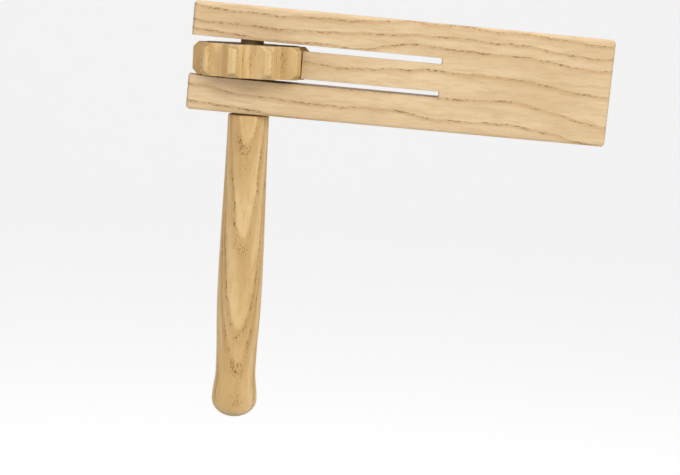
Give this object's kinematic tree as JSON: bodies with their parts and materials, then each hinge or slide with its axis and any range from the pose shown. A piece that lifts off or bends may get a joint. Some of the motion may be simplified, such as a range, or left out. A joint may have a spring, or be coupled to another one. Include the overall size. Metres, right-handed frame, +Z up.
{
  "type": "ratchet",
  "caption": "Wooden cog rattle: a long block with a springy wooden tongue is swung round a toothed wheel fixed on a turned handle, and the tongue clicks over its teeth.",
  "frame": {"origin": "on the handle's axis, in the middle of the grip's length", "axes": "+Z up along the handle towards the block, +X the way the block's long end points, -Y the front, where the tongue is"},
  "size_m": [0.1915, 0.0514, 0.1899],
  "materials": {
    "frame_ash": "sanded and thinly oiled, grain along the block",
    "tongue_ash": "sanded and thinly oiled, the same wood as the block",
    "cog_beech": "turned and gouged, grain along the axis, darker end grain",
    "spindle_beech": "bare dowel",
    "handle_beech": "turned and thinly oiled, grain along the handle"
  },
  "bodies": {
    "handle": {"handle": "handle_beech", "spindle": "spindle_beech", "cog_wheel": "cog_beech"},
    "frame": {"frame_block": "frame_ash"},
    "tongue": {"tongue": "tongue_ash"}
  },
  "joints": [
    {"name": "frame_spin", "type": "hinge", "parent": "handle", "child": "frame", "pos_m": [0, 0, 0.09481], "axis": [0, 0, 1], "continuous": true, "deforming": ["tongue"]},
    {"name": "tongue_flex", "type": "hinge", "parent": "frame", "child": "tongue", "pos_m": [0.08464, -0.0094, 0.09166], "axis": [0.0372, 0, 0.9993], "range_deg": [0, 6.5], "stiffness_Nm_per_rad": 18}
  ]
}
